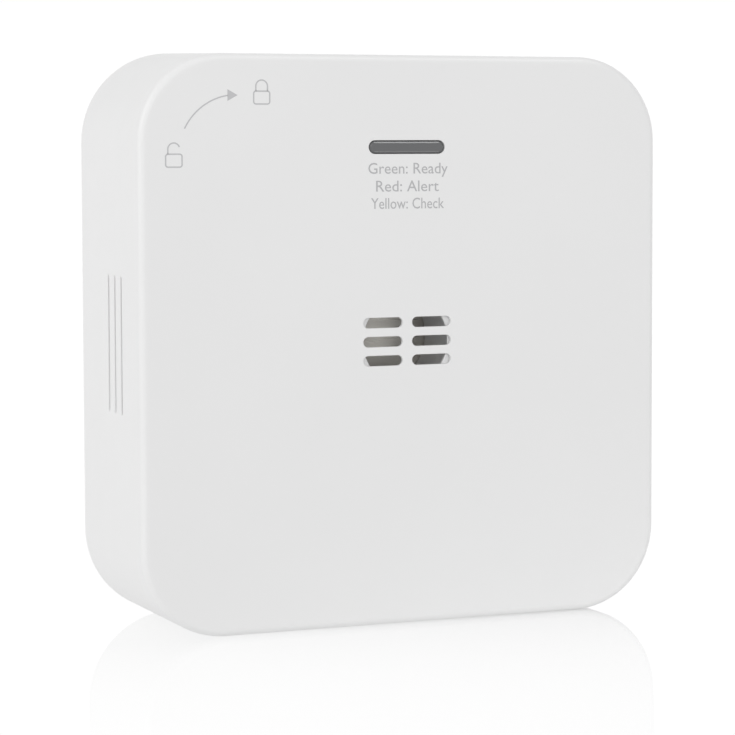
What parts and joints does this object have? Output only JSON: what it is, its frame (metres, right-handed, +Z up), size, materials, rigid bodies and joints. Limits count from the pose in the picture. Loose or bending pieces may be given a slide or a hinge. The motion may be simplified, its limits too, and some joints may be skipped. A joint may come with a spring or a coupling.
{
  "type": "carbon monoxide detector",
  "caption": "Rounded-square carbon monoxide detector that twists onto a wall plate, with sounder slots, indicator bar, side vents, test button, gas sensor and cells inside.",
  "frame": {"origin": "on the resting surface, under the middle of the object's box", "axes": "+X to the right seen from the front, +Y from the front face towards the wall, +Z up"},
  "size_m": [0.1, 0.035, 0.103],
  "materials": {
    "housing_white": "fine satin moulding",
    "inner_white": "plain moulding",
    "smoked_lens": "smoked clear plastic",
    "lamp_green": "clear tinted",
    "lamp_red": "clear tinted",
    "lamp_yellow": "clear tinted",
    "board_green": "solder mask",
    "black_plastic": "satin",
    "sensor_metal": "plated",
    "cell_sleeve": "printed sleeve",
    "steel": "nickel plated",
    "disc_metal": "nickel silver sheet",
    "copper": "enamelled wire",
    "ceramic": "silvered ceramic",
    "foam": "closed-cell foam",
    "lead_white": "insulated wire",
    "lead_red": "insulated wire",
    "lead_black": "insulated wire"
  },
  "bodies": {
    "mounting_plate": {"mounting_plate": "inner_white"},
    "detector": {"front_housing": "housing_white", "rear_chassis": "inner_white", "indicator_lens": "smoked_lens", "led_shroud": "inner_white", "led_green": "lamp_green", "led_red": "lamp_red", "led_yellow": "lamp_yellow", "test_switch": "black_plastic", "circuit_board": "board_green", "microcontroller": "black_plastic", "boost_coil": "copper", "capacitor": "black_plastic", "co_sensor_can": "sensor_metal", "co_sensor_cap": "black_plastic", "sounder_chamber": "housing_white", "sounder_disc": "disc_metal", "sounder_ceramic": "ceramic", "sounder_gasket": "foam", "sounder_lead_signal": "lead_white", "sounder_lead_ground": "lead_black", "vent_screen_left": "steel", "vent_screen_right": "steel", "battery_lower": "cell_sleeve", "battery_upper": "cell_sleeve", "contact_negative": "steel", "contact_positive": "steel", "contact_link": "steel", "contact_spring_lower": "steel", "contact_spring_upper": "steel", "battery_lead_red": "lead_red", "battery_lead_black": "lead_black", "case_screw_1": "steel", "case_screw_2": "steel", "case_screw_3": "steel", "case_screw_4": "steel", "board_screw_1": "steel", "board_screw_2": "steel", "board_screw_3": "steel"},
    "test_button": {"test_button": "housing_white", "switch_plunger": "black_plastic"}
  },
  "joints": [
    {"name": "twist_lock", "type": "hinge", "parent": "mounting_plate", "child": "detector", "pos_m": [0, 0.0153, 0.0515], "axis": [0, -1, 0], "range_deg": [0, 14]},
    {"name": "button_press", "type": "slide", "parent": "detector", "child": "test_button", "axis": [-1, 0, 0], "range_m": [0, 0.0008], "stiffness_N_per_m": 200, "springref_m": -0.006}
  ]
}
